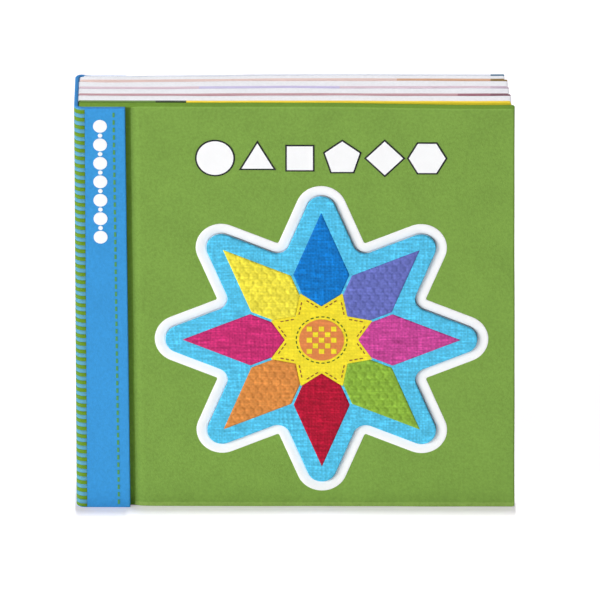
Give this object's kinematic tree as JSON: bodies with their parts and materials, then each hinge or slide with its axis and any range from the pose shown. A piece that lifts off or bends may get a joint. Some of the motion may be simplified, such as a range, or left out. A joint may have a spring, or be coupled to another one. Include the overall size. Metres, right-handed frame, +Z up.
{
  "type": "soft foam picture book",
  "caption": "Closed soft foam picture book on its lower edge, with hinged covers, foam leaves, a wrapped spine and a lift-out patchwork star in the front cover.",
  "frame": {"origin": "middle of the closed book's lower edge, on the surface that it stands on", "axes": "+X from the spine to the fore-edge, +Y from the front cover to the back cover, +Z up"},
  "size_m": [0.216, 0.042, 0.215],
  "materials": {
    "page_foam": "matt white closed-cell foam with cut edges",
    "cover_green": "matt green closed-cell foam with a fine grain",
    "wrap_blue": "matt blue foam sheet with a fine grain",
    "film_yellow": "satin printed film",
    "film_maroon": "satin printed film",
    "film_lilac": "satin printed film",
    "film_orange": "satin printed film",
    "film_blue": "satin printed film",
    "stripe_green": "satin print",
    "stripe_pale_blue": "satin print",
    "stitch_green": "satin print",
    "stitch_dark_green": "satin print",
    "stitch_brown": "satin print",
    "print_white": "satin print",
    "print_black": "satin print",
    "print_yellow": "satin print",
    "print_orange": "satin print",
    "print_sky_blue": "satin print with a linen weave",
    "patch_blue": "satin print with a linen weave",
    "patch_yellow": "satin print, embossed",
    "patch_magenta": "satin print with a linen weave",
    "patch_orange": "satin print, embossed",
    "patch_crimson": "satin print with a linen weave",
    "patch_green": "satin print, embossed",
    "patch_pink": "satin print with a linen weave",
    "patch_purple": "satin print, embossed"
  },
  "bodies": {
    "pages": {"page_block": "page_foam", "first_page_film": "film_yellow", "second_spread_film": "film_maroon", "third_spread_film": "film_lilac", "last_page_film": "film_orange", "spine_wrap": "wrap_blue", "spine_pale_stripes": "stripe_pale_blue", "spine_green_stripes": "stripe_green"},
    "front_cover": {"front_board": "cover_green", "front_inner_film": "film_yellow", "cutout_border": "print_white", "row_shapes": "print_white", "row_outlines": "print_black", "front_strip": "wrap_blue", "front_pale_stripes": "stripe_pale_blue", "front_green_stripes": "stripe_green", "front_stitches": "stitch_green", "strip_dots": "print_white", "star_foam": "page_foam", "star_face": "print_sky_blue", "patch_blue": "patch_blue", "patch_yellow": "patch_yellow", "patch_magenta": "patch_magenta", "patch_orange": "patch_orange", "patch_crimson": "patch_crimson", "patch_green": "patch_green", "patch_pink": "patch_pink", "patch_purple": "patch_purple", "inner_star": "print_yellow", "centre_disc": "print_orange", "centre_checks": "print_yellow", "disc_stitches": "stitch_dark_green", "inner_star_stitches": "stitch_brown"},
    "back_cover": {"back_board": "page_foam", "back_inner_film": "film_orange", "back_outer_film": "film_blue", "back_strip": "wrap_blue", "back_pale_stripes": "stripe_pale_blue", "back_green_stripes": "stripe_green", "back_stitches": "stitch_green"}
  },
  "joints": [
    {"name": "front_cover_hinge", "type": "hinge", "parent": "pages", "child": "front_cover", "pos_m": [-0.108, -0.0167, 0], "axis": [0, 0, -1], "range_deg": [0, 180]},
    {"name": "back_cover_hinge", "type": "hinge", "parent": "pages", "child": "back_cover", "pos_m": [-0.108, 0.0167, 0], "axis": [0, 0, 1], "range_deg": [0, 180]}
  ]
}
